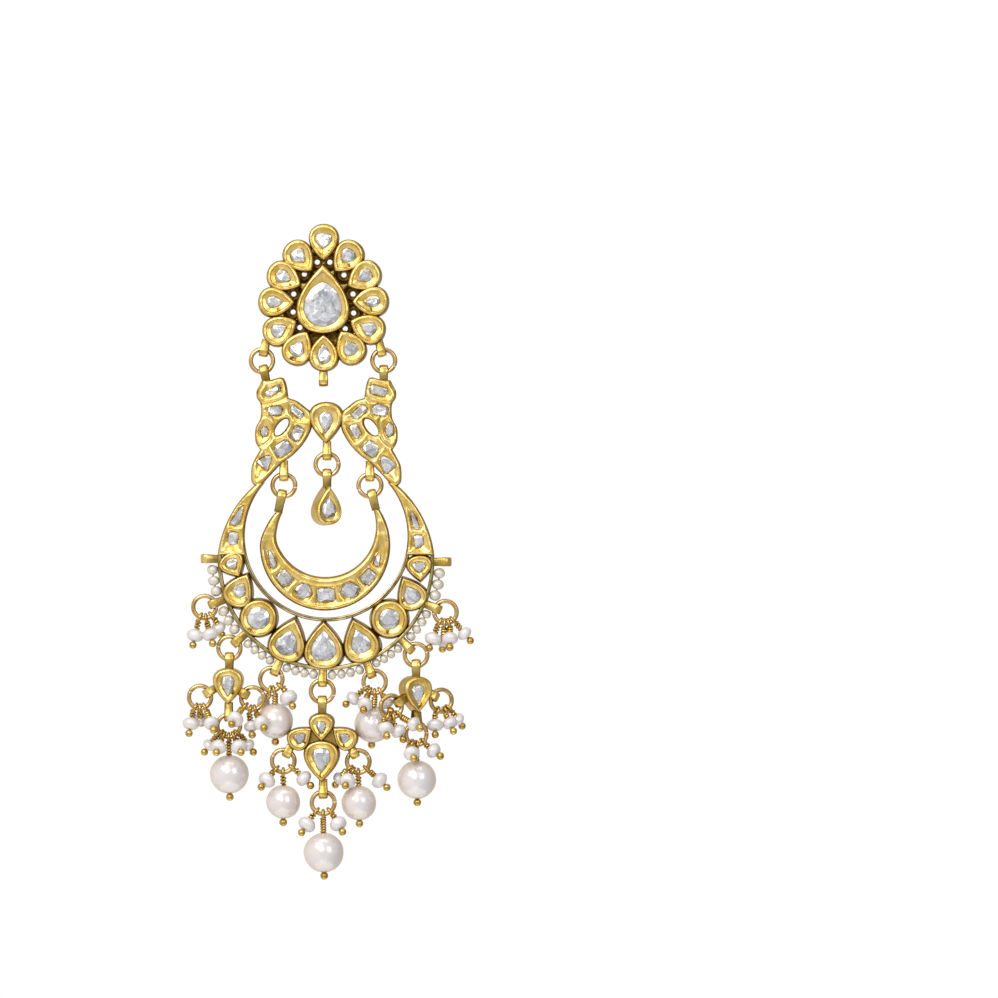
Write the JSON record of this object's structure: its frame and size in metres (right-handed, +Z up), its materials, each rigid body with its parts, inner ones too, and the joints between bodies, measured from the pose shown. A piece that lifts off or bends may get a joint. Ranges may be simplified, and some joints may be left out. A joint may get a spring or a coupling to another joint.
{
  "type": "dangle earring",
  "caption": "Crescent dangle earring in gold with flat uncut stones: a flower stud on a post, a hanging yoke and crescent, an inner crescent, small pendants and pearl clusters.",
  "frame": {"origin": "axis of the ear post at the flat back of the stud", "axes": "+Z up along the hanging earring, -Y toward the viewer, +Y along the post into the ear, +X to the viewer's right"},
  "size_m": [0.0452, 0.0175, 0.1018],
  "materials": {
    "yellow_gold": "burnished",
    "antique_gold": "burnished front, dull sides",
    "ring_gold": "drawn wire",
    "uncut_diamond": "flat cut, foil backed",
    "small_pearl": "pearl lustre",
    "big_pearl": "pearl lustre"
  },
  "bodies": {
    "stud": {"stud_frame": "antique_gold", "stud_centre_stone": "uncut_diamond", "stud_petal_stones": "uncut_diamond", "ear_post": "yellow_gold"},
    "main_drop": {"stud_ring_left": "ring_gold", "stud_ring_right": "ring_gold", "crescent_frame": "yellow_gold", "yoke_stones": "uncut_diamond", "crescent_stones": "uncut_diamond", "rim_pearls": "small_pearl", "centre_drop_ring": "ring_gold", "centre_drop": "yellow_gold", "centre_drop_stone": "uncut_diamond", "rim_ring_left_3": "ring_gold", "rim_ring_left_2": "ring_gold", "rim_ring_left_1": "ring_gold", "rim_ring_centre": "ring_gold", "rim_ring_right_1": "ring_gold", "rim_ring_right_2": "ring_gold", "rim_ring_right_3": "ring_gold", "side_drop_left": "yellow_gold", "side_drop_right": "yellow_gold", "side_drop_stones": "uncut_diamond", "trefoil": "yellow_gold", "trefoil_stones": "uncut_diamond", "left_drop_ring_a": "ring_gold", "left_drop_ring_b": "ring_gold", "left_drop_ring_c": "ring_gold", "right_drop_ring_a": "ring_gold", "right_drop_ring_b": "ring_gold", "right_drop_ring_c": "ring_gold", "trefoil_ring_a": "ring_gold", "trefoil_ring_b": "ring_gold", "trefoil_ring_c": "ring_gold", "big_pearl_left_1": "big_pearl", "big_pearl_right_1": "big_pearl", "big_pearl_left_drop": "big_pearl", "big_pearl_right_drop": "big_pearl", "big_pearl_trefoil_a": "big_pearl", "big_pearl_trefoil_b": "big_pearl", "big_pearl_trefoil_c": "big_pearl", "pearls_left_3": "small_pearl", "pearls_right_3": "small_pearl", "pearls_left_1": "small_pearl", "pearls_right_1": "small_pearl", "pearls_left_drop": "small_pearl", "pearls_right_drop": "small_pearl", "pearls_trefoil": "small_pearl", "pins_left_3": "yellow_gold", "pins_right_3": "yellow_gold", "pins_left_1": "yellow_gold", "pins_right_1": "yellow_gold", "pins_left_drop": "yellow_gold", "pins_right_drop": "yellow_gold", "pins_trefoil": "yellow_gold"},
    "inner_crescent": {"inner_ring_left": "ring_gold", "inner_ring_right": "ring_gold", "inner_crescent": "yellow_gold", "inner_crescent_stones": "uncut_diamond"}
  },
  "joints": [
    {"name": "main_drop_swing", "type": "hinge", "parent": "stud", "child": "main_drop", "pos_m": [0, -0.0016, -0.00765], "axis": [1, 0, 0], "range_deg": [-50, 50]},
    {"name": "inner_crescent_swing", "type": "hinge", "parent": "main_drop", "child": "inner_crescent", "pos_m": [0, -0.0016, -0.027], "axis": [1, 0, 0], "range_deg": [-50, 50]}
  ]
}
